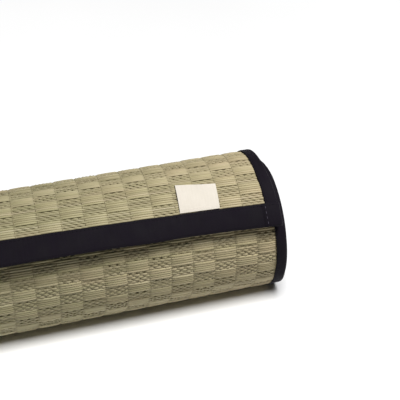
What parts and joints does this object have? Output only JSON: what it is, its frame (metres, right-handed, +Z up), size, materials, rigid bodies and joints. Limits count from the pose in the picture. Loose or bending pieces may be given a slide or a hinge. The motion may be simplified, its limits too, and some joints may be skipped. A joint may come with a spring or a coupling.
{
  "type": "rolled tatami mat",
  "caption": "Woven rush mat with dark cloth bindings and a plain sewn-in label, rolled up and lying on its side with the free end at the front.",
  "frame": {"origin": "on the floor under the middle of the roll, at the centre of its small flat spot", "axes": "+X along the roll's axis, +Z up, the free end of the mat on the -Y side"},
  "size_m": [0.6067, 0.1162, 0.1177],
  "materials": {
    "rush": "satin woven rush",
    "binding_cloth": "matte woven cotton",
    "label_cloth": "matte woven cotton"
  },
  "bodies": {
    "root": {"rush_mat": "rush", "side_binding_right": "binding_cloth", "side_binding_left": "binding_cloth", "end_binding_outer": "binding_cloth", "end_binding_inner": "binding_cloth", "label": "label_cloth"}
  },
  "joints": []
}
